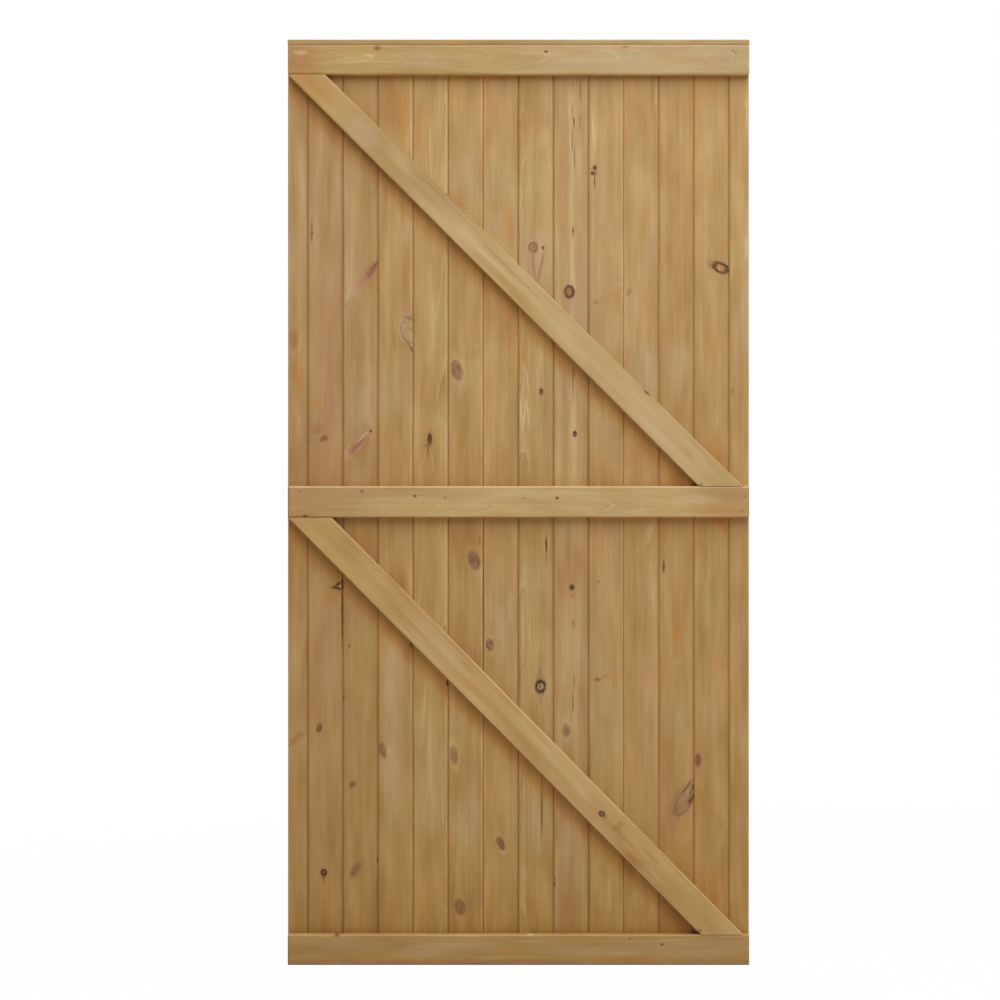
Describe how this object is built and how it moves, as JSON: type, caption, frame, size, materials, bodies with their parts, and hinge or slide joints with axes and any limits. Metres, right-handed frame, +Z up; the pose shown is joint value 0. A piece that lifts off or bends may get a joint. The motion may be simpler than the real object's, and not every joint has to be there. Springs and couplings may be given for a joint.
{
  "type": "wooden garden gate",
  "caption": "Ledged, braced and matchboarded wooden garden gate leaf, full height, with level ledges, two diagonal braces and a thin top cap.",
  "frame": {"origin": "foot of the hinge edge, in the middle of the boards' thickness", "axes": "+X out of the hinge edge, so the leaf runs along -X; +Y out of the boarded front; -Y out of the ledged back; +Z up"},
  "size_m": [0.914, 0.036, 1.829],
  "materials": {
    "boards": "planed softwood, golden brown stain, satin",
    "ledges": "planed softwood, golden brown stain, satin",
    "braces": "planed softwood, golden brown stain, satin",
    "cap": "planed softwood, golden brown stain, satin"
  },
  "bodies": {
    "root": {"board_01": "boards", "board_02": "boards", "board_03": "boards", "board_04": "boards", "board_05": "boards", "board_06": "boards", "board_07": "boards", "board_08": "boards", "board_09": "boards", "board_10": "boards", "board_11": "boards", "board_12": "boards", "board_13": "boards", "board_14": "boards", "bottom_ledge": "ledges", "middle_ledge": "ledges", "top_ledge": "ledges", "lower_brace": "braces", "upper_brace": "braces", "top_cap": "cap"}
  },
  "joints": []
}
